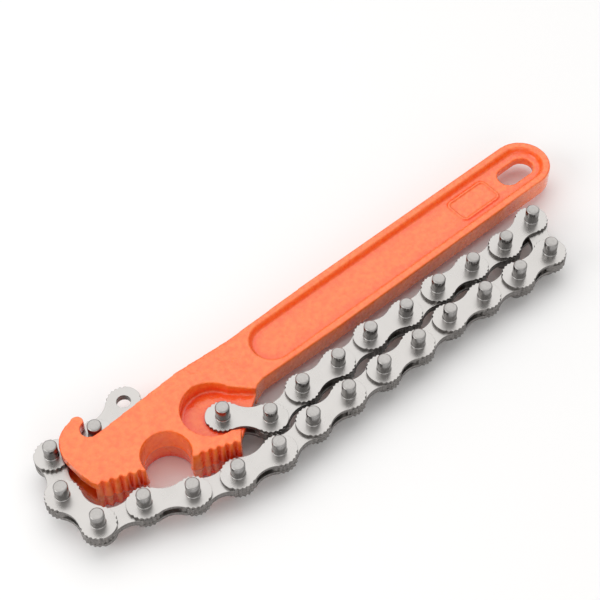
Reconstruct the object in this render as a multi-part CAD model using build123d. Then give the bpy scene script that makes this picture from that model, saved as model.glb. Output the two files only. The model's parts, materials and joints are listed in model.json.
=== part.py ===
from build123d import *
import math
import os

# Chain oil filter wrench: a cast body with a serrated jaw, and a leaf chain that is
# pinned at the heel of the jaw, runs round the filter and catches on the nose hook.
# It lies on one face with the chain folded beside the handle and hooked at its last pin.
# Millimetres, +Z up. Sizes are set out from the anchor pin's axis, with X along the
# handle and Y towards the hook side. The pieces are moved at the end, so that the
# origin is the middle of the footprint, on the floor.

# Driving sizes of the chain
pitch = 17.0
outer_link_count = 13
plate_thickness = 1.4
plate_gap = 0.05
plate_end_radius = 6.5
plate_waist_half_width = 4.0
plate_tooth_depth = 0.5
plate_tooth_angle = 15.5
plate_teeth_per_flank = 6
plate_smooth_tip_angle = 32.0
pin_radius = 2.6
pin_length = 17.9
pin_chamfer = 0.35
pin_collar_width = 0.35
pin_collar_height = 0.4
pin_running_clearance = 0.05

# How the folded chain lies: the direction of each link in degrees, from the anchor pin on
rest_directions = [
    -43.0, 7.0, -1.0, 4.0, -4.0, 1.5, -4.0, -3.0, 7.5,
    -111.5,
    -180.0, -185.5, -184.5, -177.0, -180.5, -181.0, -179.5, -175.7,
    -187.5, -195.5, -207.0, -194.5, -260.0, -293.0, -371.5, -341.5,
]

# Driving sizes of the cast head
head_thickness = 17.0
nose_offset_from_hook_pin = (-4.5, -3.6)
nose_pin_clearance = 0.5
hook_mouth_clearance = 0.8
hook_mouth_offset = (-1.7, 0.4)
hook_tip_radius = 2.5
hook_tip_offset = (-3.7, 5.5)
back_corner_offset = (1.1, -2.9)
back_heel = (-2.2, 22.9)
nose_side_high = (-53.6, 11.5)
nose_side_low = (-52.7, 6.9)
jaw_corner = (-51.5, 4.0)
jaw_angle = -21.8
jaw_length = 51.4
notch_along = 25.4
notch_inset = 4.1
notch_radius = 9.1
serration_depth = 1.3
serration_crest = 0.7
serration_grooves = 5
front_serration_pitch = 3.3
rear_serration_pitch = 3.0
rear_serration_margin = 0.5

# Driving sizes of the chain slot, the anchor pocket and its web
slot_clearance_above = 0.675
slot_clearance_below = 1.575
slot_floor_clearance = 2.4
slot_entry = (-51.9, 5.5)
slot_shoulder = (-47.0, 9.3)
slot_left = -46.4
slot_right = -31.5
slot_exit = -27.8
slot_corner_radius = 2.5
pocket_clearance = 5.1
pocket_centre = (-2.6, 2.4)
pocket_wall_offset = 10.6
pocket_heel_wall_start = (-9.6, -6.1)
web_clearance = 0.075
web_edge_clearance = 1.28
web_edge_angle = 34.6
web_edge_start = -6.2
web_edge_length = 21.2

# Driving sizes of the handle
handle_thickness = 8.8
handle_width = 23.3
handle_axis_y = 13.2
handle_end_x = 165.4
neck_front = (21.0, 2.4)
neck_back = (21.5, 24.0)
handle_full_x = 58.0
slope_start_x = -2.4
slope_end_x = 21.0
rim_width = 2.85
panel_start_x = 34.4
panel_depth = 2.5
panel_draft = 25.0
hang_hole_length = 16.8
hang_hole_width = 9.1
hang_hole_x = 162.4
frame_length = 20.0
frame_width = 11.2
frame_x = 138.6
frame_corner_radius = 2.5
frame_line_width = 0.7
frame_line_height = 0.5

# Heights that follow from the sizes above
cut_margin = 1.0
corner_tolerance = 0.01
chain_mid_z = pin_length / 2
stack_half_height = 2 * plate_thickness + 1.5 * plate_gap
inner_plate_z = plate_gap / 2
outer_plate_z = inner_plate_z + plate_thickness + plate_gap
head_mid_z = head_thickness / 2
slot_top_z = chain_mid_z + stack_half_height + slot_clearance_above
slot_bottom_z = chain_mid_z - stack_half_height - slot_clearance_below
web_half_height = outer_plate_z - web_clearance
handle_bottom_z = head_mid_z - handle_thickness / 2
handle_top_z = head_mid_z + handle_thickness / 2


def offset_point(point, offset):
    return (point[0] + offset[0], point[1] + offset[1])


def polar(distance, degrees):
    angle = math.radians(degrees)
    return (distance * math.cos(angle), distance * math.sin(angle))


def chain_points():
    """Centres of the chain's holes as it lies folded, from the anchor pin on."""
    points = [(0.0, 0.0)]
    for direction in rest_directions:
        points.append(offset_point(points[-1], polar(pitch, direction)))
    return points


chain_hole_points = chain_points()
hook_pin = chain_hole_points[-2]
nose_neighbour_pin = chain_hole_points[-3]


def prism(face, bottom, top):
    """A face drawn in plan, extruded between two heights."""
    return extrude(Pos(0, 0, bottom) * face, amount=top - bottom)


def polygon(points):
    return make_face(Polyline(*points, close=True))


# The jaw line, with distances along it from the front corner and inward from it
def jaw_point(along, inward):
    forward = polar(along, jaw_angle)
    inside = polar(inward, jaw_angle + 90)
    return (jaw_corner[0] + forward[0] + inside[0], jaw_corner[1] + forward[1] + inside[1])


# The web's front edge keeps clear of the inner plates on the second pin
web_edge_distance = (
    pitch * math.cos(math.radians(rest_directions[0] - web_edge_angle + 90))
    - plate_end_radius
    - web_edge_clearance
)


def web_edge_point(along):
    across = polar(web_edge_distance, web_edge_angle - 90)
    return offset_point(across, polar(along, web_edge_angle))


heel_inner = web_edge_point(web_edge_start)
neck_inner = web_edge_point(web_edge_start + web_edge_length)
handle_half_width = handle_width / 2
panel_half_width = handle_half_width - rim_width


def plan_outline():
    """The casting seen from above, without the serrations."""
    nose_centre = offset_point(hook_pin, nose_offset_from_hook_pin)
    mouth_centre = offset_point(hook_pin, hook_mouth_offset)
    tip_centre = offset_point(hook_pin, hook_tip_offset)
    back_corner = offset_point(hook_pin, back_corner_offset)
    mouth_radius = pin_radius + hook_mouth_clearance
    nose_radius = math.dist(nose_centre, nose_neighbour_pin) - pin_radius - nose_pin_clearance
    handle_front_y = handle_axis_y - handle_half_width
    handle_back_y = handle_axis_y + handle_half_width

    body = polygon([
        jaw_corner,
        jaw_point(jaw_length, 0),
        heel_inner,
        neck_inner,
        neck_front,
        (handle_full_x, handle_front_y),
        (handle_end_x, handle_front_y),
        (handle_end_x, handle_back_y),
        (handle_full_x, handle_back_y),
        neck_back,
        back_heel,
        back_corner,
        (mouth_centre[0], mouth_centre[1] - mouth_radius),
        nose_centre,
        (nose_centre[0] - nose_radius, nose_centre[1]),
        nose_side_high,
        nose_side_low,
    ])
    handle_end = Pos(handle_end_x, handle_axis_y) * Circle(handle_half_width)

    # The nose disc ends at a line up from the mouth, where the hook tip takes over
    beyond_hook = polygon([
        (mouth_centre[0], back_corner[1]),
        (mouth_centre[0], nose_centre[1] + 2 * nose_radius),
        (nose_centre[0] + 2 * nose_radius, nose_centre[1] + 2 * nose_radius),
        (nose_centre[0] + 2 * nose_radius, back_corner[1]),
    ])
    nose = Pos(*nose_centre) * Circle(nose_radius) - beyond_hook
    hook_tip = Pos(*tip_centre) * Circle(hook_tip_radius)
    mouth = Pos(*mouth_centre) * Circle(mouth_radius)
    notch = Pos(*jaw_point(notch_along, notch_inset)) * Circle(notch_radius)
    return body + handle_end + nose + hook_tip - mouth - notch


def side_profile():
    """The casting seen from the front: a thick head that slopes down to the handle."""
    left = jaw_corner[0] - 2 * head_thickness
    right = handle_end_x + handle_width
    return [
        (left, 0),
        (slope_start_x, 0),
        (slope_end_x, handle_bottom_z),
        (right, handle_bottom_z),
        (right, handle_top_z),
        (slope_end_x, handle_top_z),
        (slope_start_x, head_thickness),
        (left, head_thickness),
    ]


def side_prism():
    face = Plane.XZ * polygon(side_profile())
    return extrude(face, amount=4 * handle_width, both=True)


def serration_grooves_at(first_crest, spacing):
    """Vee grooves square to the jaw line, between crests."""
    half_mouth = (spacing - serration_crest) / 2
    grooves = []
    for index in range(serration_grooves):
        middle = first_crest + (index + 0.5) * spacing
        vee = polygon([
            jaw_point(middle - half_mouth, 0),
            jaw_point(middle, serration_depth),
            jaw_point(middle + half_mouth, 0),
            jaw_point(middle, -serration_depth),
        ])
        grooves.append(prism(vee, -cut_margin, head_thickness + cut_margin))
    return grooves


def slot_outline():
    """In plan, the gap between the two cheeks of the nose, which the chain lies in."""
    slot_floor = hook_pin[1] - plate_end_radius - slot_floor_clearance
    far_left = slot_left - 2 * pitch
    far_back = hook_pin[1] + pitch
    outline = polygon([
        (far_left, slot_entry[1]),
        slot_entry,
        slot_shoulder,
        (slot_left, slot_floor),
        (slot_right, slot_floor),
        (slot_exit, back_heel[1]),
        (slot_exit, far_back),
        (far_left, far_back),
    ])
    corners = outline.vertices().filter_by(
        lambda v: abs(v.Y - slot_floor) < corner_tolerance
        and slot_left - corner_tolerance < v.X < slot_right + corner_tolerance
    )
    return fillet(corners, slot_corner_radius)


def pocket_outline():
    """The recess round the anchor pin, open towards the second pin."""
    pocket_radius = plate_end_radius + pocket_clearance
    across = rest_directions[0] + 90
    wall_start = polar(pocket_wall_offset, across)
    reach = 2 * pitch
    wall_end = offset_point(wall_start, polar(reach, rest_directions[0]))
    opening = polygon([
        (0.0, 0.0),
        wall_start,
        wall_end,
        offset_point(heel_inner, polar(reach, web_edge_angle - 90)),
        heel_inner,
        pocket_heel_wall_start,
    ])
    return Pos(*pocket_centre) * Circle(pocket_radius) + opening


def pocket_cuts():
    """The pocket is cut from both faces and leaves the web that the chain straddles."""
    outline = pocket_outline()
    upper = prism(outline, chain_mid_z + web_half_height, head_thickness + cut_margin)
    lower = prism(outline, -cut_margin, chain_mid_z - web_half_height)
    return upper + lower


def panel_cut(from_top):
    """One sunk panel of the handle's I section, with sloping walls."""
    length = handle_end_x - panel_start_x
    middle = ((handle_end_x + panel_start_x) / 2, handle_axis_y)
    slot_face = Pos(*middle) * SlotCenterToCenter(length, 2 * panel_half_width)
    if from_top:
        return extrude(Pos(0, 0, handle_top_z) * slot_face, -panel_depth, taper=panel_draft)
    return extrude(Pos(0, 0, handle_bottom_z) * slot_face, panel_depth, taper=panel_draft)


def hang_hole():
    place = Pos(hang_hole_x, handle_axis_y)
    straight = hang_hole_length - hang_hole_width
    outline = place * SlotCenterToCenter(straight, hang_hole_width)
    return prism(outline, -cut_margin, head_thickness + cut_margin)


def raised_frame():
    """The plain raised border on the upper panel near the hanging hole."""
    place = Pos(frame_x, handle_axis_y)
    inner_radius = frame_corner_radius - frame_line_width
    outer = RectangleRounded(frame_length, frame_width, frame_corner_radius)
    inner = RectangleRounded(
        frame_length - 2 * frame_line_width, frame_width - 2 * frame_line_width, inner_radius
    )
    floor = handle_top_z - panel_depth
    return prism(place * (outer - inner), floor, floor + frame_line_height)


def casting():
    """The whole casting: jaw, nose, anchor pocket and handle."""
    body = prism(plan_outline(), 0, head_thickness) & side_prism()
    for groove in serration_grooves_at(0, front_serration_pitch):
        body -= groove
    rear_first_crest = (
        jaw_length - rear_serration_margin - serration_grooves * rear_serration_pitch
    )
    for groove in serration_grooves_at(rear_first_crest, rear_serration_pitch):
        body -= groove
    body -= prism(slot_outline(), slot_bottom_z, slot_top_z)
    body -= pocket_cuts()
    body -= panel_cut(from_top=True)
    body -= panel_cut(from_top=False)
    body -= hang_hole()
    body += raised_frame()
    anchor_hole = Circle(pin_radius + pin_running_clearance)
    body -= prism(anchor_hole, -cut_margin, head_thickness + cut_margin)
    return body


def casting_pieces():
    """The casting as four simple nodes that meet face to face.

    The cheeks are the parts over and under the chain slot, and the handle starts where
    the head's slope ends.
    """
    whole = casting()
    slot = slot_outline()
    handle_reach = 2 * handle_width
    handle_zone = Pos(slope_end_x, handle_axis_y) * Rectangle(
        2 * handle_end_x, 2 * handle_reach, align=(Align.MIN, Align.CENTER)
    )
    below = -cut_margin
    above = head_thickness + cut_margin
    beside_head = prism(slot, below, above) + prism(handle_zone, below, above)
    return {
        "wrench_head": whole - beside_head,
        "wrench_handle": whole & prism(handle_zone, below, above),
        "nose_cheek_upper": whole & prism(slot, slot_top_z, above),
        "nose_cheek_lower": whole & prism(slot, below, slot_bottom_z),
    }


def plate_outline():
    """A figure of eight plate along X: round ends with grip teeth, and a narrow waist."""
    half_pitch = pitch / 2
    quarter = []
    steps = 2 * plate_teeth_per_flank
    for step in range(steps + 1):
        angle = plate_smooth_tip_angle + step * plate_tooth_angle / 2
        valley = step % 2 == 1
        radius = plate_end_radius - plate_tooth_depth if valley else plate_end_radius
        point = polar(radius, angle)
        quarter.append((half_pitch + point[0], point[1]))
    flank_end = quarter[-1]

    def corner_flank(sign_x, sign_y):
        return Polyline(*[(sign_x * x, sign_y * y) for x, y in quarter])

    def tip(sign_x):
        start = quarter[0]
        return ThreePointArc(
            (sign_x * start[0], start[1]),
            (sign_x * (half_pitch + plate_end_radius), 0),
            (sign_x * start[0], -start[1]),
        )

    def waist(sign_y):
        return ThreePointArc(
            (flank_end[0], sign_y * flank_end[1]),
            (0, sign_y * plate_waist_half_width),
            (-flank_end[0], sign_y * flank_end[1]),
        )

    edges = [tip(1), tip(-1), waist(1), waist(-1)]
    for sign_x in (1, -1):
        for sign_y in (1, -1):
            edges.append(corner_flank(sign_x, sign_y))
    return make_face([edge for line in edges for edge in line.edges()])


def plate(hole_radius):
    """One stamped plate lying on z = 0, with a hole at each end."""
    outline = plate_outline()
    for sign_x in (1, -1):
        outline -= Pos(sign_x * pitch / 2, 0) * Circle(hole_radius)
    return prism(outline, 0, plate_thickness)


def pin():
    """A long pin with chamfered ends and a staked collar outside each outer plate."""
    body = Cylinder(pin_radius, pin_length)
    body = chamfer(body.edges().filter_by(GeomType.CIRCLE), pin_chamfer)
    collar = Cylinder(pin_radius + pin_collar_width, pin_collar_height)
    collar_z = stack_half_height + pin_collar_height / 2
    return body + Pos(0, 0, collar_z) * collar + Pos(0, 0, -collar_z) * collar


def link_place(index):
    """The middle and direction of a link, where link 0 leaves the anchor pin."""
    start = chain_hole_points[index]
    end = chain_hole_points[index + 1]
    middle = ((start[0] + end[0]) / 2, (start[1] + end[1]) / 2)
    return Pos(middle[0], middle[1], chain_mid_z) * Rot(0, 0, rest_directions[index])


def chain_pieces():
    """Every chain node: outer plates and pins on even links, inner pairs on odd links."""
    outer_plate = plate(pin_radius)
    inner_plate = plate(pin_radius + pin_running_clearance)
    one_pin = pin()
    pieces = {}
    for number in range(1, outer_link_count + 1):
        outer_place = link_place(2 * number - 2)
        inner_place = link_place(2 * number - 1)
        upper = outer_place * Pos(0, 0, outer_plate_z) * outer_plate
        lower = outer_place * Pos(0, 0, -outer_plate_z - plate_thickness) * outer_plate
        pins = [
            outer_place * Pos(-pitch / 2, 0) * one_pin,
            outer_place * Pos(pitch / 2, 0) * one_pin,
        ]
        inner_pair = [
            inner_place * Pos(0, 0, inner_plate_z) * inner_plate,
            inner_place * Pos(0, 0, -inner_plate_z - plate_thickness) * inner_plate,
        ]
        pieces[f"outer_plate_upper_{number:02d}"] = upper
        pieces[f"outer_plate_lower_{number:02d}"] = lower
        pieces[f"link_pins_{number:02d}"] = Compound(children=pins)
        pieces[f"inner_plates_{number:02d}"] = Compound(children=inner_pair)
    return pieces


def centred_on_footprint(pieces):
    """Move every piece so that the origin is under the middle of the whole part."""
    low_x = min(piece.bounding_box().min.X for piece in pieces.values())
    high_x = max(piece.bounding_box().max.X for piece in pieces.values())
    low_y = min(piece.bounding_box().min.Y for piece in pieces.values())
    high_y = max(piece.bounding_box().max.Y for piece in pieces.values())
    shift = (-(low_x + high_x) / 2, -(low_y + high_y) / 2)
    moved = {name: Pos(shift[0], shift[1], 0) * piece for name, piece in pieces.items()}
    return moved, shift


all_pieces = casting_pieces()
all_pieces.update(chain_pieces())
all_pieces, origin_shift = centred_on_footprint(all_pieces)

os.makedirs("parts", exist_ok=True)
for node_name, node_shape in all_pieces.items():
    export_step(node_shape, f"parts/{node_name}.step")
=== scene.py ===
# %% [markdown]
# # A chain oil filter wrench, lying folded
#
# The tool is a casting with a toothed jaw and a long handle, and a leaf chain that is
# pinned at the heel of the jaw and caught on the nose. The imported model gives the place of
# every joint and the box of every piece. It could be shown as it is, but its edges are
# knife sharp and its steel is plain, so this lesson rebuilds what is seen in its places.
# Every size is in metres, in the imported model's frame.

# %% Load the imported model
import json
import math

import bmesh
import bpy
import numpy as np
from mathutils import Matrix, Vector


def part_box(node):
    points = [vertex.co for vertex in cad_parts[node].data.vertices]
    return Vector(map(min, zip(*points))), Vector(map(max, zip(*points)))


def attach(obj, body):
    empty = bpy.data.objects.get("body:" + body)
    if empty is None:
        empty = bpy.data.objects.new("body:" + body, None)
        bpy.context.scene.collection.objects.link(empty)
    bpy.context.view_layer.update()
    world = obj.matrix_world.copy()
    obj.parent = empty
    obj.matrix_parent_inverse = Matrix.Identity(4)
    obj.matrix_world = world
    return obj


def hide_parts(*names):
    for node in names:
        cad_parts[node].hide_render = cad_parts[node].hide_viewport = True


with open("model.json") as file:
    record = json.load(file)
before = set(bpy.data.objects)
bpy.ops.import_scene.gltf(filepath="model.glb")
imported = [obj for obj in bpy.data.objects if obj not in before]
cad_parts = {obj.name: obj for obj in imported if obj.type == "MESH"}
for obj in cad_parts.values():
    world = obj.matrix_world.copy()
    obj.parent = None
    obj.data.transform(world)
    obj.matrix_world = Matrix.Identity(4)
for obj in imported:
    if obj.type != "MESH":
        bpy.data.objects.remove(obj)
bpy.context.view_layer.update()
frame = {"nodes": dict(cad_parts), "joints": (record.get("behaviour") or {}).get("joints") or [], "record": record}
MM = 0.001

# %% [markdown]
# ## Where the chain's pins stand
#
# On the real tool each pin is both a hinge and the mark that the next plates are set out
# from. The places could be typed in again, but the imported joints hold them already, so the
# pivots are read in order, and the open hole of the last link is read from its mount.

# %% Read the pins and the heights of the plates
record = frame["record"]
mounts = {mount["name"]: mount for mount in record["mounts"]}
pivots = sorted(frame["joints"], key=lambda joint: joint["name"])
hole_places = [Vector(joint["pos_m"]) for joint in pivots]
hole_places.append(Vector(mounts["end_link_hole"]["pos_m"]))
anchor = hole_places[0]
pitch = (hole_places[1] - anchor).length
chain_middle_z = anchor.z
pin_low, pin_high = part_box("link_pins_01")
upper_low, upper_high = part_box("outer_plate_upper_01")
lower_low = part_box("outer_plate_lower_01")[0]
inner_low, inner_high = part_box("inner_plates_01")
head_low, head_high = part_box("wrench_head")
handle_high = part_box("wrench_handle")[1]
plate_thickness = upper_high.z - upper_low.z
hole_radius = mounts["end_link_hole"]["dims"]["r_mm"] * MM
RUNNING_CLEARANCE = 0.05 * MM
pin_radius = hole_radius - RUNNING_CLEARANCE
head_middle_z = (head_low.z + head_high.z) / 2
head_half_height = (head_high.z - head_low.z) / 2
print(f"pitch {pitch / MM:.2f} mm, plates {plate_thickness / MM:.2f} mm thick")


# %% A point set out from the anchor pin
def at_anchor(x_mm, y_mm, z=0.0):
    """A point set out in millimetres from the anchor pin's axis."""
    return Vector((anchor.x + x_mm * MM, anchor.y + y_mm * MM, z))


print("the anchor pin is at", [round(value / MM, 2) for value in anchor], "mm")

# %% [markdown]
# ## Plain meshes out of curves and modifiers
#
# A finished piece has to be a plain mesh whose object sits at the origin. Applying each
# modifier by operator would need selections and a context, so the evaluated copy of an
# object is taken as new mesh data, which works the same in every run.


# %% Link an object, bake it and shade it
def link_object(name, data):
    made = bpy.data.objects.new(name, data)
    bpy.context.scene.collection.objects.link(made)
    return made


def baked(source, name):
    """A plain mesh object with the source's modifiers applied. The source is removed."""
    depsgraph = bpy.context.evaluated_depsgraph_get()
    mesh = bpy.data.meshes.new_from_object(source.evaluated_get(depsgraph), depsgraph=depsgraph)
    mesh.name = name
    bpy.data.objects.remove(source, do_unlink=True)
    return link_object(name, mesh)


def shade(mesh, sharp_degrees):
    mesh.polygons.foreach_set("use_smooth", [True] * len(mesh.polygons))
    mesh.set_sharp_from_angle(angle=math.radians(sharp_degrees))


print("helpers for plain meshes are ready")

# %% [markdown]
# ## Flat pieces and turned pieces
#
# A stamped plate is an outline with two holes and slightly rolled rims. A filled curve with
# a small bevel gives just that, and keeps the rims rounded round every tooth. A pin is
# turned, so it is a profile carried round an axis.

# %% Circles, stamped plates and turned pieces
SHARP_DEGREES = 35
RIM_STEPS = 1


def circle_points(centre, radius, count):
    steps = [2 * math.pi * step / count for step in range(count)]
    return [(centre[0] + radius * math.cos(a), centre[1] + radius * math.sin(a)) for a in steps]


def stamped(name, outlines, thickness, rim):
    """A plate on z = 0 from closed outlines, with rims rounded off inside the outline."""
    curve = bpy.data.curves.new(name, "CURVE")
    curve.dimensions = "2D"
    curve.fill_mode = "BOTH"
    for outline in outlines:
        spline = curve.splines.new("POLY")
        spline.points.add(len(outline) - 1)
        for point, (x, y) in zip(spline.points, outline):
            point.co = (x, y, 0, 1)
        spline.use_cyclic_u = True
    curve.extrude = thickness / 2 - rim
    curve.bevel_depth = rim
    curve.bevel_resolution = RIM_STEPS
    curve.offset = -rim
    made = baked(link_object(name, curve), name)
    made.data.transform(Matrix.Translation((0, 0, thickness / 2)))
    shade(made.data, SHARP_DEGREES)
    return made


def turned(name, profile, segments):
    """A closed round piece from (radius, height) points, low to high, about Z."""
    mesh = bpy.data.meshes.new(name)
    shape = bmesh.new()
    rings = []
    for radius, height in profile:
        circle = circle_points((0, 0), radius, segments)
        rings.append([shape.verts.new((x, y, height)) for x, y in circle])
    for low, high in zip(rings, rings[1:]):
        for step in range(segments):
            ahead = (step + 1) % segments
            shape.faces.new((low[step], low[ahead], high[ahead], high[step]))
    shape.faces.new(list(reversed(rings[0])))
    shape.faces.new(rings[-1])
    shape.to_mesh(mesh)
    shape.free()
    shade(mesh, SHARP_DEGREES)
    return link_object(name, mesh)


print("stamped and turned pieces can be made")

# %% [markdown]
# ## Colours and shader nodes
#
# Colours are matched on a screen, so they are written as sRGB hex, while the shader
# works in linear light: one function turns them. Another adds any node, sets what is a
# value and links what is a socket. Patterns are sized in millimetres on the piece.


# %% Turn a colour to linear, and add a node
def linear(hex_colour):
    """An sRGB hex colour in linear light, by the standard's two-part curve."""
    parts = [int(hex_colour[i:i + 2], 16) / 255 for i in (1, 3, 5)]
    return [p / 12.92 if p <= 0.04045 else ((p + 0.055) / 1.055) ** 2.4 for p in parts] + [1.0]


def per_mm(size_mm):
    """The scale at which a noise's features are about this many millimetres across."""
    return 1 / (size_mm * MM)


def add(tree, kind, inputs, output=0, **settings):
    """One node with its settings and inputs. It gives back the output that is asked for."""
    node = tree.nodes.new(kind)
    for key, value in settings.items():
        setattr(node, key, value)
    for key, value in inputs.items():
        if isinstance(value, bpy.types.NodeSocket):
            tree.links.new(value, node.inputs[key])
        else:
            node.inputs[key].default_value = value
    return node.outputs[output] if node.outputs else node


def new_material(name):
    material = bpy.data.materials.new(name)
    material.use_nodes = True
    material.node_tree.nodes.clear()
    return material, material.node_tree


# A mix node has sockets for every data type, and these numbers pick the ones for colour.
MIX_FACTOR, MIX_FIRST, MIX_SECOND, MIX_COLOUR = 0, 6, 7, 2
print("orange in linear light:", [round(value, 3) for value in linear("#F9681F")])

# %% [markdown]
# ## Baked enamel on cast steel
#
# The casting is dipped or sprayed and baked, so the colour is a thick glossy skin that
# thins over edges and pools in hollows. A plain glossy orange would look like moulded
# plastic. Ambient occlusion turns the hollows a deeper red: partly the pooled enamel, and
# partly painted shade. A fine bump and mottle give the orange peel, drawn a little coarse
# so that it shows, and a slower bump is the cast surface under it, which breaks up the
# highlights.

# %% Make the enamel
PEEL_MM = 1.2
PEEL_HEIGHT = 0.15 * MM
PEEL_STRENGTH = 0.7
CAST_WAVE_MM = 4.0
CAST_WAVE_HEIGHT = 0.3 * MM
POOLED_WAVE, OPEN_WAVE = 1.0, 0.55
MOTTLE_MM = 1.8
MOTTLE_LOW, MOTTLE_HIGH = 0.35, 0.65
HOLLOW_REACH = 5 * MM
HOLLOW_SAMPLES = 8
# occlusion at which the painted shade is full (all red) and at which there is none (all orange)
ALL_SHADED, ALL_UNSHADED = 0.42, 1.0
WAVE_LOW, WAVE_HIGH = 0.3, 0.7
GLOSSIEST, DULLEST = 0.2, 0.32
ENAMEL_IOR = 1.5
COAT_WEIGHT, COAT_IOR, COAT_ROUGHNESS = 0.6, 1.55, 0.12


def baked_enamel():
    """A deep glossy orange skin: soft wavy highlights, and painted shade that turns the hollows red where it also
    pools.
    """
    material, tree = new_material("baked_orange_enamel")
    position = add(tree, "ShaderNodeTexCoord", {}, "Object")
    hollow = add(tree, "ShaderNodeAmbientOcclusion", {"Distance": HOLLOW_REACH}, "AO",
                 samples=HOLLOW_SAMPLES)
    unshaded_share = add(tree, "ShaderNodeMapRange",
                     {"Value": hollow, "From Min": ALL_SHADED, "From Max": ALL_UNSHADED})
    mottle = add(tree, "ShaderNodeTexNoise",
                 {"Vector": position, "Scale": per_mm(MOTTLE_MM), "Detail": 3.0})
    thin_share = add(tree, "ShaderNodeMapRange",
                     {"Value": mottle, "From Min": MOTTLE_LOW, "From Max": MOTTLE_HIGH})
    pale = add(tree, "ShaderNodeMix",
               {MIX_FACTOR: thin_share, MIX_FIRST: linear("#FF7A2E"),
                MIX_SECOND: linear("#F7641B")},
               MIX_COLOUR, data_type="RGBA")
    # painted shade: where ambient occlusion finds a hollow, the colour turns deep red, partly as pooled enamel
    colour = add(tree, "ShaderNodeMix",
                 {MIX_FACTOR: unshaded_share, MIX_FIRST: linear("#FA3000"), MIX_SECOND: pale},
                 MIX_COLOUR, data_type="RGBA")
    peel = add(tree, "ShaderNodeTexNoise",
               {"Vector": position, "Scale": per_mm(PEEL_MM), "Detail": 2.0})
    peel_normal = add(tree, "ShaderNodeBump",
                      {"Height": peel, "Strength": PEEL_STRENGTH, "Distance": PEEL_HEIGHT})
    wave = add(tree, "ShaderNodeTexNoise",
               {"Vector": position, "Scale": per_mm(CAST_WAVE_MM), "Detail": 3.0})
    pooled = add(tree, "ShaderNodeMapRange",
                 {"Value": unshaded_share, "To Min": POOLED_WAVE, "To Max": OPEN_WAVE})
    normal = add(tree, "ShaderNodeBump",
                 {"Height": wave, "Strength": pooled, "Distance": CAST_WAVE_HEIGHT,
                  "Normal": peel_normal})
    roughness = add(tree, "ShaderNodeMapRange",
                    {"Value": wave, "From Min": WAVE_LOW, "From Max": WAVE_HIGH,
                     "To Min": GLOSSIEST, "To Max": DULLEST})
    surface = add(tree, "ShaderNodeBsdfPrincipled",
                  {"Base Color": colour, "Roughness": roughness, "Normal": normal,
                   "IOR": ENAMEL_IOR, "Coat Weight": COAT_WEIGHT, "Coat IOR": COAT_IOR,
                   "Coat Roughness": COAT_ROUGHNESS, "Coat Normal": normal})
    add(tree, "ShaderNodeOutputMaterial", {"Surface": surface})
    return material


enamel = baked_enamel()
print("made", enamel.name, "with", len(enamel.node_tree.nodes), "nodes")

# %% [markdown]
# ## Stamped plate steel
#
# The plates are sheared from sheet and tumbled: their faces are pale and satin, and their
# edges are torn, darker and dull. Two materials on one mesh would need the faces sorted, so
# one material looks at the face's direction: level faces are the sheet, and walls are the
# sheared edge, with upright tear marks. The marks are drawn coarser than real ones, which
# would be too fine to show.

# %% Make the plate steel
GRAIN_MM = 0.4
CLOUD_MM = 7.0
CLOUD_LOW, CLOUD_HIGH = 0.3, 0.7
TEAR_MM = 0.45
TEAR_STRETCH = 0.1
PLATE_RELIEF = 0.06 * MM
PLATE_RELIEF_STRENGTH = 0.15
ALL_WALL, ALL_LEVEL = 0.35, 0.8
SATIN_LOW, SATIN_HIGH = 0.24, 0.34
EDGE_EXTRA_ROUGHNESS = 0.14


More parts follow.
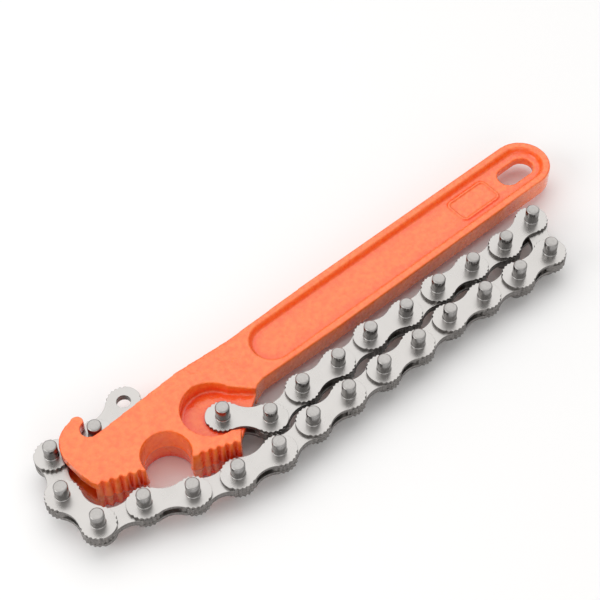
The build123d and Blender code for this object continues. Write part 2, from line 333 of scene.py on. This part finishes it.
def stamped_steel():
    """Pale satin faces with soft clouds, and dark torn edges."""
    material, tree = new_material("stamped_plate_steel")
    position = add(tree, "ShaderNodeTexCoord", {}, "Object")
    facing = add(tree, "ShaderNodeSeparateXYZ",
                 {"Vector": add(tree, "ShaderNodeNewGeometry", {}, "True Normal")}, "Z")
    levelness = add(tree, "ShaderNodeMath", {0: facing}, operation="ABSOLUTE")
    level = add(tree, "ShaderNodeMapRange",
                {"Value": levelness, "From Min": ALL_WALL, "From Max": ALL_LEVEL})
    grain = add(tree, "ShaderNodeTexNoise",
                {"Vector": position, "Scale": per_mm(GRAIN_MM), "Detail": 3.0, "Roughness": 0.7})
    cloud = add(tree, "ShaderNodeTexNoise",
                {"Vector": position, "Scale": per_mm(CLOUD_MM), "Detail": 3.0})
    upright = add(tree, "ShaderNodeMapping",
                  {"Vector": position, "Scale": (1.0, 1.0, TEAR_STRETCH)})
    tears = add(tree, "ShaderNodeTexNoise",
                {"Vector": upright, "Scale": per_mm(TEAR_MM), "Detail": 2.0})
    sheet = add(tree, "ShaderNodeMix",
                {MIX_FACTOR: cloud, MIX_FIRST: linear("#A9A6A3"), MIX_SECOND: linear("#BEBBB8")},
                MIX_COLOUR, data_type="RGBA")
    torn = add(tree, "ShaderNodeMix",
               {MIX_FACTOR: tears, MIX_FIRST: linear("#4A4745"), MIX_SECOND: linear("#A19D9A")},
               MIX_COLOUR, data_type="RGBA")
    colour = add(tree, "ShaderNodeMix",
                 {MIX_FACTOR: level, MIX_FIRST: torn, MIX_SECOND: sheet},
                 MIX_COLOUR, data_type="RGBA")
    satin = add(tree, "ShaderNodeMapRange",
                {"Value": cloud, "From Min": CLOUD_LOW, "From Max": CLOUD_HIGH,
                 "To Min": SATIN_LOW, "To Max": SATIN_HIGH})
    dull = add(tree, "ShaderNodeMapRange",
               {"Value": level, "To Min": EDGE_EXTRA_ROUGHNESS, "To Max": 0.0})
    roughness = add(tree, "ShaderNodeMath", {0: satin, 1: dull}, operation="ADD")
    relief = add(tree, "ShaderNodeMix", {MIX_FACTOR: level, MIX_FIRST: tears, MIX_SECOND: grain},
                 MIX_COLOUR, data_type="RGBA")
    normal = add(tree, "ShaderNodeBump",
                 {"Height": relief, "Strength": PLATE_RELIEF_STRENGTH, "Distance": PLATE_RELIEF})
    surface = add(tree, "ShaderNodeBsdfPrincipled",
                  {"Base Color": colour, "Metallic": 1.0, "Roughness": roughness,
                   "Normal": normal})
    add(tree, "ShaderNodeOutputMaterial", {"Surface": surface})
    return material


plate_finish = stamped_steel()
print("made", plate_finish.name, "with", len(plate_finish.node_tree.nodes), "nodes")

# %% [markdown]
# ## Drawn pin steel
#
# The pins are cut from drawn wire: a smooth shaft with fine lines along it, and a sawn,
# faceted end that is paler and duller. The same look at the face's direction tells the end
# from the shaft, and a noise stretched along the pin gives the lines of the drawing die.
# The end is paler than the shaft partly because it is sawn and partly as painted light and
# shade: the shaft's darker colour stands in for the dark parts that it mirrors.
# Both patterns are coarser than on a real pin, where they would be too fine to show.

# %% Make the pin steel
SAWN_MM = 0.65
DRAWN_MM = 0.45
DRAWN_STRETCH = 0.06
ALL_SHAFT, ALL_END = 0.5, 0.95
SHAFT_ROUGHNESS, END_ROUGHNESS = 0.26, 0.42
PIN_RELIEF = 0.05 * MM
PIN_RELIEF_STRENGTH = 0.12


def drawn_steel():
    """A shaft darkened by painted shade, with long fine lines, and a pale dull end."""
    material, tree = new_material("drawn_pin_steel")
    position = add(tree, "ShaderNodeTexCoord", {}, "Object")
    facing = add(tree, "ShaderNodeSeparateXYZ",
                 {"Vector": add(tree, "ShaderNodeNewGeometry", {}, "True Normal")}, "Z")
    levelness = add(tree, "ShaderNodeMath", {0: facing}, operation="ABSOLUTE")
    end_share = add(tree, "ShaderNodeMapRange",
                    {"Value": levelness, "From Min": ALL_SHAFT, "From Max": ALL_END})
    along = add(tree, "ShaderNodeMapping",
                {"Vector": position, "Scale": (1.0, 1.0, DRAWN_STRETCH)})
    lines = add(tree, "ShaderNodeTexNoise",
                {"Vector": along, "Scale": per_mm(DRAWN_MM), "Detail": 2.0, "Roughness": 0.6})
    sawn = add(tree, "ShaderNodeTexNoise",
               {"Vector": position, "Scale": per_mm(SAWN_MM), "Detail": 3.0, "Roughness": 0.6})
    end = add(tree, "ShaderNodeMix",
              {MIX_FACTOR: sawn, MIX_FIRST: linear("#9C9996"), MIX_SECOND: linear("#B7B4B1")},
              MIX_COLOUR, data_type="RGBA")
    shaft = add(tree, "ShaderNodeMix",
                {MIX_FACTOR: lines, MIX_FIRST: linear("#7C7A79"), MIX_SECOND: linear("#A8A6A4")},
                MIX_COLOUR, data_type="RGBA")
    # painted shade: the upright shaft takes the darker colour, standing in for the dark parts it mirrors
    colour = add(tree, "ShaderNodeMix",
                 {MIX_FACTOR: end_share, MIX_FIRST: shaft, MIX_SECOND: end},
                 MIX_COLOUR, data_type="RGBA")
    roughness = add(tree, "ShaderNodeMapRange",
                    {"Value": end_share, "To Min": SHAFT_ROUGHNESS, "To Max": END_ROUGHNESS})
    relief = add(tree, "ShaderNodeMix",
                 {MIX_FACTOR: end_share, MIX_FIRST: lines, MIX_SECOND: sawn},
                 MIX_COLOUR, data_type="RGBA")
    normal = add(tree, "ShaderNodeBump",
                 {"Height": relief, "Strength": PIN_RELIEF_STRENGTH, "Distance": PIN_RELIEF})
    surface = add(tree, "ShaderNodeBsdfPrincipled",
                  {"Base Color": colour, "Metallic": 1.0, "Roughness": roughness,
                   "Normal": normal})
    add(tree, "ShaderNodeOutputMaterial", {"Surface": surface})
    return material


pin_finish = drawn_steel()
print("made", pin_finish.name, "with", len(pin_finish.node_tree.nodes), "nodes")

# %% [markdown]
# ## One plate
#
# Each plate is a figure of eight: smooth tips, toothed flanks that bite the filter, and a
# hollow waist. The outline follows a rule, so it is worked out and not drawn: a tooth every
# few degrees round each end, and one arc for each side of the waist.

# %% Work out a plate's outline
END_RADIUS = 6.5 * MM
WAIST_HALF_WIDTH = 4.0 * MM
TOOTH_DEPTH = 0.5 * MM
TOOTH_ANGLE = 15.5
SMOOTH_TIP_ANGLE = 32.0
TEETH_PER_FLANK = 6
TIP_STEPS = 16
WAIST_STEPS = 14
HOLE_STEPS = 40
PLATE_RIM = 0.08 * MM


def arc_points(start, middle, end, count):
    """Points along the arc through three points, without the last one."""
    (ax, ay), (bx, by), (cx, cy) = start, middle, end
    d = 2 * (ax * (by - cy) + bx * (cy - ay) + cx * (ay - by))
    a2, b2, c2 = ax * ax + ay * ay, bx * bx + by * by, cx * cx + cy * cy
    ux = (a2 * (by - cy) + b2 * (cy - ay) + c2 * (ay - by)) / d
    uy = (a2 * (cx - bx) + b2 * (ax - cx) + c2 * (bx - ax)) / d
    radius = math.hypot(ax - ux, ay - uy)
    first = math.atan2(ay - uy, ax - ux)
    turn = (math.atan2(cy - uy, cx - ux) - first) % (2 * math.pi)
    passed = (math.atan2(by - uy, bx - ux) - first) % (2 * math.pi)
    if passed > turn:
        turn -= 2 * math.pi
    angles = [first + turn * step / count for step in range(count)]
    return [(ux + radius * math.cos(a), uy + radius * math.sin(a)) for a in angles]


def plate_outline():
    """The outline anticlockwise, from the right tip's lower end."""
    flank = []
    for step in range(2 * TEETH_PER_FLANK + 1):
        angle = math.radians(SMOOTH_TIP_ANGLE + step * TOOTH_ANGLE / 2)
        radius = END_RADIUS - (TOOTH_DEPTH if step % 2 else 0.0)
        flank.append((pitch / 2 + radius * math.cos(angle), radius * math.sin(angle)))
    tip = arc_points((flank[0][0], -flank[0][1]), (pitch / 2 + END_RADIUS, 0), flank[0], TIP_STEPS)
    waist_end = (-flank[-1][0], flank[-1][1])
    waist = arc_points(flank[-1], (0, WAIST_HALF_WIDTH), waist_end, WAIST_STEPS)
    half = tip + flank + waist[1:]
    left_flank = [(-x, y) for x, y in reversed(flank)]
    top = half + left_flank[:-1]
    return top + [(-x, -y) for x, y in top]


def plate_piece(name, radius):
    holes = [circle_points((side * pitch / 2, 0), radius, HOLE_STEPS) for side in (1, -1)]
    return stamped(name, [plate_outline()] + holes, plate_thickness, PLATE_RIM)


print("points in a plate's outline:", len(plate_outline()))

# %% [markdown]
# ## One pin
#
# A pin is sawn to length, so its end has a small chamfer with a bright rim and a shallow
# dish, and it is staked: a low collar of metal is squeezed up where it meets the outer
# plate, with a dark groove above it. A turned profile holds all of this in a few rings.

# %% Turn a pin
PIN_FOOT = 0.01 * MM
COLLAR_SUNK = 0.1 * MM
COLLAR_WIDTH = 0.22 * MM
COLLAR_TOP_WIDTH = 0.2 * MM
COLLAR_HEIGHT = 0.12 * MM
COLLAR_END = 0.22 * MM
GROOVE_DEPTH = 0.08 * MM
GROOVE_HEIGHT = 0.36 * MM
GROOVE_END = 0.55 * MM
CHAMFER_LENGTH = 0.42 * MM
CHAMFER_BEND_IN = 0.1 * MM
CHAMFER_BEND_DOWN = 0.2 * MM
END_RIM_INSET = 0.35 * MM
END_RIM_DROP = 0.05 * MM
END_CREST_INSET = 0.12 * MM
DISH_INSET = 0.3 * MM
DISH_RADIUS = 0.9 * MM
DISH_DEPTH = 0.04 * MM


def pin_piece(name):
    """A pin about Z, with its middle on z = 0, which is the middle of the chain."""
    half = (pin_high.z - pin_low.z) / 2
    stack = upper_high.z - chain_middle_z
    end_rim = pin_radius - END_RIM_INSET
    upper = [
        (pin_radius, stack - COLLAR_SUNK),
        (pin_radius + COLLAR_WIDTH, stack),
        (pin_radius + COLLAR_TOP_WIDTH, stack + COLLAR_HEIGHT),
        (pin_radius, stack + COLLAR_END),
        (pin_radius - GROOVE_DEPTH, stack + GROOVE_HEIGHT),
        (pin_radius, stack + GROOVE_END),
        (pin_radius, half - CHAMFER_LENGTH),
        (pin_radius - CHAMFER_BEND_IN, half - CHAMFER_BEND_DOWN),
        (end_rim, half - END_RIM_DROP),
        (end_rim - END_CREST_INSET, half),
        (end_rim - DISH_INSET, half - END_RIM_DROP),
        (DISH_RADIUS, half - DISH_DEPTH),
    ]
    lower = [(radius, -height) for radius, height in reversed(upper)]
    return turned(name, lower + upper, HOLE_STEPS)


print(f"a pin is {(pin_high.z - pin_low.z) / MM:.1f} mm long")

# %% [markdown]
# ## The chain, by Geometry Nodes
#
# The chain is the same plate and the same pin, again and again, on the line of the pins.
# Copies could be made by hand, but one node tree does it for every link: it puts a piece on
# each point of a small mesh, turned as the point says, makes it real and gives it its
# finish. Each link gets its own result, because each link rides on its own body.


# %% Build the tree that repeats a piece on points
def repeat_tree():
    tree = bpy.data.node_groups.new("pieces_on_points", "GeometryNodeTree")
    socket = tree.interface.new_socket
    socket("Geometry", in_out="INPUT", socket_type="NodeSocketGeometry")
    socket("Piece", in_out="INPUT", socket_type="NodeSocketObject")
    socket("Size", in_out="INPUT", socket_type="NodeSocketFloat").default_value = 1.0
    socket("Finish", in_out="INPUT", socket_type="NodeSocketMaterial")
    socket("Geometry", in_out="OUTPUT", socket_type="NodeSocketGeometry")
    given = tree.nodes.new("NodeGroupInput").outputs
    piece = add(tree, "GeometryNodeObjectInfo", {"Object": given["Piece"]}, "Geometry")
    turn = add(tree, "GeometryNodeInputNamedAttribute", {"Name": "turn"}, "Attribute",
               data_type="FLOAT_VECTOR")
    placed = add(tree, "GeometryNodeInstanceOnPoints",
                 {"Points": given["Geometry"], "Instance": piece, "Rotation": turn,
                  "Scale": given["Size"]}, "Instances")
    real = add(tree, "GeometryNodeRealizeInstances", {"Geometry": placed}, "Geometry")
    finished = add(tree, "GeometryNodeSetMaterial",
                   {"Geometry": real, "Material": given["Finish"]}, "Geometry")
    add(tree, "NodeGroupOutput", {"Geometry": finished})
    return tree


pieces_on_points = repeat_tree()
print("tree", pieces_on_points.name, "has", len(pieces_on_points.nodes), "nodes")


# %% Put a piece on its places, and hand it over
def pieces_at(name, piece, finish, places):
    """The piece repeated at (point, angle about Z) places, as one plain mesh object."""
    mesh = bpy.data.meshes.new(name)
    mesh.from_pydata([place for place, angle in places], [], [])
    turn = mesh.attributes.new("turn", "FLOAT_VECTOR", "POINT")
    turn.data.foreach_set("vector", [value for place, angle in places for value in (0, 0, angle)])
    holder = link_object(name, mesh)
    modifier = holder.modifiers.new("repeat", "NODES")
    modifier.node_group = pieces_on_points
    sockets = pieces_on_points.interface.items_tree
    modifier[sockets["Piece"].identifier] = piece
    modifier[sockets["Finish"].identifier] = finish
    return baked(holder, name)


def dress(piece, finish):
    piece.data.materials.clear()
    piece.data.materials.append(finish)


def hand_over(piece, slot, body, *nodes):
    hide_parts(*nodes)
    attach(piece, body)


print("pieces can be placed")

# %% [markdown]
# ## All the links
#
# Outer and inner links take turns. An outer link is two plates pressed onto two pins, and
# an inner link is two plates that turn on the pins of its neighbours. They are made link by
# link, so that each follows its own hinge.


# %% Make the chain
def make_outer_link(number, start, end, angle, outer_plate, pin):
    middle = (start + end) / 2
    body = f"outer_link_{number:02d}"
    for side, z in (("upper", upper_low.z), ("lower", lower_low.z)):
        place = ((middle.x, middle.y, z), angle)
        plate = pieces_at(f"plate_{side}_{number:02d}", outer_plate, plate_finish, [place])
        hand_over(plate, "plate_steel", body, f"outer_plate_{side}_{number:02d}")
    places = [((p.x, p.y, chain_middle_z), angle) for p in (start, end)]
    pins = pieces_at(f"pins_{number:02d}", pin, pin_finish, places)
    hand_over(pins, "pin_steel", body, f"link_pins_{number:02d}")


def make_inner_link(number, start, end, angle, inner_plate):
    middle = (start + end) / 2
    heights = [inner_high.z - plate_thickness, inner_low.z]
    places = [((middle.x, middle.y, z), angle) for z in heights]
    pair = pieces_at(f"inner_pair_{number:02d}", inner_plate, plate_finish, places)
    hand_over(pair, "plate_steel", f"inner_link_{number:02d}", f"inner_plates_{number:02d}")


def make_chain():
    outer_plate = plate_piece("outer_plate_master", pin_radius + PIN_FOOT)
    inner_plate = plate_piece("inner_plate_master", hole_radius)
    pin = pin_piece("pin_master")
    for link, (start, end) in enumerate(zip(hole_places, hole_places[1:])):
        number = link // 2 + 1
        angle = math.atan2(end.y - start.y, end.x - start.x)
        if link % 2:
            make_inner_link(number, start, end, angle, inner_plate)
        else:
            make_outer_link(number, start, end, angle, outer_plate, pin)
    for master in (outer_plate, inner_plate, pin):
        bpy.data.objects.remove(master, do_unlink=True)


make_chain()
print("links made:", len(hole_places) - 1)

# %% [markdown]
# ## The casting's blank
#
# The casting is one piece of metal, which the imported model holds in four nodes. Their
# triangles are joined into one closed shape. Bevels can't round such a shape, with teeth,
# slots and slopes that meet anywhere, so it is remeshed finely and smoothed a little: that
# rounds every edge by a few tenths of a millimetre, as casting and enamel do.

# %% Join and remesh the casting
CASTING_NODES = ("wrench_head", "wrench_handle", "nose_cheek_upper", "nose_cheek_lower")
VOXEL = 0.34 * MM
WELD = 0.002 * MM


def casting_blank():
    """The four nodes' triangles, joined into one closed shape and remeshed finely."""
    blank = None
    for node in CASTING_NODES:
        mesh = frame["nodes"][node].data.copy()
        shape = bmesh.new()
        shape.from_mesh(mesh)
        bmesh.ops.remove_doubles(shape, verts=shape.verts, dist=WELD)
        shape.to_mesh(mesh)
        shape.free()
        part = link_object(f"blank_of_{node}", mesh)
        if blank is None:
            blank = part
            continue
        joined = blank.modifiers.new("join", "BOOLEAN")
        joined.operation = "UNION"
        joined.solver = "EXACT"
        joined.object = part
        blank = baked(blank, "casting_blank")
        bpy.data.objects.remove(part, do_unlink=True)
    remesh = blank.modifiers.new("remesh", "REMESH")
    remesh.mode = "VOXEL"
    remesh.voxel_size = VOXEL
    remesh.adaptivity = 0
    return baked(blank, "casting_blank")


def volume_mm3(mesh):
    shape = bmesh.new()
    shape.from_mesh(mesh)
    volume = shape.calc_volume() / MM ** 3
    shape.free()
    return volume


blank = casting_blank()
print(f"blank: {len(blank.data.polygons)} faces, {volume_mm3(blank.data):.0f} cubic mm")

# %% [markdown]
# ## The jaw's draft and flash
#
# A die has to let the casting go, so the jaw's walls lean out towards the parting plane,
# and a thin line of flash is left on it where the two dies met. Both are small moves of the
# wall's own points, so they are worked out on the remeshed points and not modelled apart.

# %% Lean the jaw's walls and leave the flash
JAW_CORNER_MM = (-51.5, 4.0)
JAW_ANGLE = math.radians(-21.8)
JAW_LENGTH = 51.4 * MM
JAW_DRAFT = 0.75 * MM
JAW_FADE = 1.2 * MM
DRAFT_REACH = 13.0 * MM
DRAFT_FADE = 1.5 * MM
FLASH_HEIGHT = 0.32 * MM
FLASH_HALF_WIDTH = 0.4 * MM
WALL_FROM, WALL_FULL = 0.5, 0.9
SHORTEST = 1e-6


def smooth_step(value, low, high):
    """It rises from 0 at low to 1 at high, and is level at both."""
    share = np.clip((value - low) / (high - low), 0, 1)
    return share * share * (3 - 2 * share)


def draft_the_jaw(mesh):
    """Lean the jaw's walls out towards the parting plane, and leave flash on it."""
    count = len(mesh.vertices)
    places = np.empty(count * 3)
    normals = np.empty(count * 3)
    mesh.vertices.foreach_get("co", places)
    mesh.vertices.foreach_get("normal", normals)
    places = places.reshape(-1, 3)
    normals = normals.reshape(-1, 3)
    corner = at_anchor(*JAW_CORNER_MM)
    from_corner = places[:, :2] - np.array(corner[:2])
    along = from_corner @ np.array([math.cos(JAW_ANGLE), math.sin(JAW_ANGLE)])
    inward = from_corner @ np.array([-math.sin(JAW_ANGLE), math.cos(JAW_ANGLE)])
    in_jaw = (
        smooth_step(along, 0, JAW_FADE)
        * (1 - smooth_step(along, JAW_LENGTH - JAW_FADE / 2, JAW_LENGTH + JAW_FADE / 2))
        * (1 - smooth_step(inward, DRAFT_REACH, DRAFT_REACH + DRAFT_FADE))
    )
    upright = smooth_step(np.hypot(normals[:, 0], normals[:, 1]), WALL_FROM, WALL_FULL)
    off_middle = np.abs(places[:, 2] - head_middle_z)
    lean = JAW_DRAFT * np.clip(1 - off_middle / head_half_height, 0, 1)
    flash = FLASH_HEIGHT * np.exp(-(off_middle / FLASH_HALF_WIDTH) ** 2)
    push = (in_jaw * upright * (lean + flash))[:, None]
    flat = normals.copy()
    flat[:, 2] = 0
    flat /= np.maximum(np.linalg.norm(flat, axis=1), SHORTEST)[:, None]
    mesh.vertices.foreach_set("co", (places + flat * push).ravel())
    mesh.update()
    return push.max() / MM


print(f"the jaw's walls move out by {draft_the_jaw(blank.data):.2f} mm at most")

# %% [markdown]
# ## The finished casting
#
# The remeshed shape has steps one voxel high. A few smoothing passes take them away, and a
# decimation keeps the piece light enough to export without losing its rounded edges.

# %% Smooth the casting and thin it out
SMOOTH_PASSES = 6
SMOOTH_FACTOR = 0.5
NOTHING_SHARP = 180
MOST_TRIANGLES = 170000


def finish_casting(source):
    smooth = source.modifiers.new("soften", "SMOOTH")
    smooth.factor = SMOOTH_FACTOR
    smooth.iterations = SMOOTH_PASSES
    triangles = sum(len(face.vertices) - 2 for face in source.data.polygons)
    thin = source.modifiers.new("thin_out", "DECIMATE")
    thin.ratio = min(1.0, MOST_TRIANGLES / triangles)
    casting = baked(source, "casting")
    shade(casting.data, NOTHING_SHARP)
    dress(casting, enamel)
    hand_over(casting, "orange_enamel", "casting", *CASTING_NODES)
    return casting


casting = finish_casting(blank)
print("casting:", len(casting.data.polygons), "faces")

# %% [markdown]
# ## The raised border on the handle
#
# Near the hanging hole the upper panel carries a thin raised border with rounded corners,
# cast with the rest. Remeshing softens it too much to be read, so a crisp border with
# rolled rims stands in the same place, in the same enamel. Its inside stays bare.

# %% Make the raised border
BORDER_PLACE_MM = (138.6, 13.2)
BORDER_LENGTH = 20.0 * MM
BORDER_WIDTH = 11.2 * MM
BORDER_CORNER = 2.5 * MM
BORDER_LINE = 0.75 * MM
BORDER_RIM = 0.16 * MM
BORDER_HEIGHT = 0.62 * MM
BORDER_SUNK = 0.12 * MM
PANEL_DEPTH = 2.5 * MM
CORNER_STEPS = 10


def rounded_outline(length, width, radius):
    """A rectangle with round corners, anticlockwise about the origin."""
    points = []
    for quarter, (sign_x, sign_y) in enumerate(((1, 1), (-1, 1), (-1, -1), (1, -1))):
        centre = (sign_x * (length / 2 - radius), sign_y * (width / 2 - radius))
        for step in range(CORNER_STEPS + 1):
            angle = (quarter + step / CORNER_STEPS) * math.pi / 2
            points.append((centre[0] + radius * math.cos(angle),
                           centre[1] + radius * math.sin(angle)))
    return points


def make_border():
    outer = rounded_outline(BORDER_LENGTH, BORDER_WIDTH, BORDER_CORNER)
    inner = rounded_outline(BORDER_LENGTH - 2 * BORDER_LINE, BORDER_WIDTH - 2 * BORDER_LINE,
                            BORDER_CORNER - BORDER_LINE)
    border = stamped("raised_border", [outer, inner], BORDER_HEIGHT, BORDER_RIM)
    panel_z = handle_high.z - PANEL_DEPTH
    place = at_anchor(*BORDER_PLACE_MM, panel_z - BORDER_SUNK)
    border.data.transform(Matrix.Translation(place))
    dress(border, enamel)
    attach(border, "casting")
    return border


border = make_border()
print("border:", len(border.data.polygons), "faces")

# %% [markdown]
# ## Camera
#
# The photograph looks down on the tool from its jaw's side. Its camera was found from the
# pins' ends, whose places are known. It is set out here as angles and a distance from a
# point over the chain, which is how a photographer would set it up.

# %% Set up the camera
LOOK_AT_MM = (51.5, 17.3)
CAMERA_ELEVATION = math.radians(53.08)
CAMERA_HEADING = math.radians(40.4)
CAMERA_ROLL = math.radians(-0.8)
CAMERA_DISTANCE = 571.7 * MM
FOCAL_PIXELS = 1542.0
IMAGE_PIXELS = 600.0
SENSOR_WIDTH = 36.0
NEAREST_SEEN = 0.01


def make_camera():
    data = bpy.data.cameras.new("camera")
    data.sensor_width = SENSOR_WIDTH
    data.sensor_fit = "HORIZONTAL"
    data.lens = FOCAL_PIXELS / IMAGE_PIXELS * SENSOR_WIDTH
    data.clip_start = NEAREST_SEEN
    camera = link_object("camera", data)
    target = at_anchor(*LOOK_AT_MM, pin_high.z)
    level = math.cos(CAMERA_ELEVATION)
    back = Vector((
        -level * math.sin(CAMERA_HEADING),
        -level * math.cos(CAMERA_HEADING),
        math.sin(CAMERA_ELEVATION),
    ))
    camera.location = target + back * CAMERA_DISTANCE
    aim = (-back).to_track_quat("-Z", "Y").to_matrix()
    camera.rotation_euler = (aim @ Matrix.Rotation(CAMERA_ROLL, 3, "Z")).to_euler()
    bpy.context.scene.camera = camera
    return camera


camera = make_camera()
print(f"camera lens {camera.data.lens:.1f} mm")

# %% [markdown]
# ## Floor and studio light
#
# A catalogue picture is taken on a white table under large soft boxes. A wide light stands
# behind and above the tool and is what the level steel mirrors, a smaller one gives the
# left side its shine, and a low one in front and a pale surround fill the faces towards
# the camera.

# %% Make the floor and the lights
FLOOR_REACH = 3.0
FLOOR_DROP = 0.02 * MM
FLOOR_ROUGHNESS = 0.6
SURROUND_STRENGTH = 0.6
OVERHEAD_PLACE, OVERHEAD_SIZE, OVERHEAD_WATTS = (0.25, 0.45, 1.1), (1.7, 1.3), 7.5
LEFT_PLACE, LEFT_SIZE, LEFT_WATTS = (-0.8, 0.25, 0.55), (0.7, 0.5), 3.0
FRONT_PLACE, FRONT_SIZE, FRONT_WATTS = (-0.35, -0.95, 0.45), (1.0, 0.6), 1.8


def make_floor():
    mesh = bpy.data.meshes.new("floor")
    reach = FLOOR_REACH
    corners = [(-reach, -reach, 0), (reach, -reach, 0), (reach, reach, 0), (-reach, reach, 0)]
    mesh.from_pydata(corners, [], [(0, 1, 2, 3)])
    floor = link_object("floor", mesh)
    floor.location.z = -FLOOR_DROP
    material, tree = new_material("white_table_laminate")
    surface = add(tree, "ShaderNodeBsdfPrincipled",
                  {"Base Color": linear("#F6F5F4"), "Roughness": FLOOR_ROUGHNESS})
    add(tree, "ShaderNodeOutputMaterial", {"Surface": surface})
    mesh.materials.append(material)


def soft_light(name, place, size, power):
    """An area lamp that faces the tool at the frame's origin."""
    data = bpy.data.lights.new(name, "AREA")
    data.shape = "RECTANGLE"
    data.size, data.size_y = size
    data.energy = power
    light = link_object(name, data)
    light.location = place
    light.rotation_euler = (-Vector(place)).to_track_quat("-Z", "Y").to_euler()


def make_surround():
    world = bpy.data.worlds.new("studio")
    world.use_nodes = True
    background = world.node_tree.nodes["Background"].inputs
    background["Color"].default_value = linear("#FFFFFF")
    background["Strength"].default_value = SURROUND_STRENGTH
    bpy.context.scene.world = world


make_floor()
make_surround()
soft_light("overhead", OVERHEAD_PLACE, OVERHEAD_SIZE, OVERHEAD_WATTS)
soft_light("left_side", LEFT_PLACE, LEFT_SIZE, LEFT_WATTS)
soft_light("front_fill", FRONT_PLACE, FRONT_SIZE, FRONT_WATTS)
bpy.context.scene.view_settings.view_transform = "Standard"
print("lights:", OVERHEAD_WATTS, LEFT_WATTS, FRONT_WATTS, "watts, surround", SURROUND_STRENGTH)
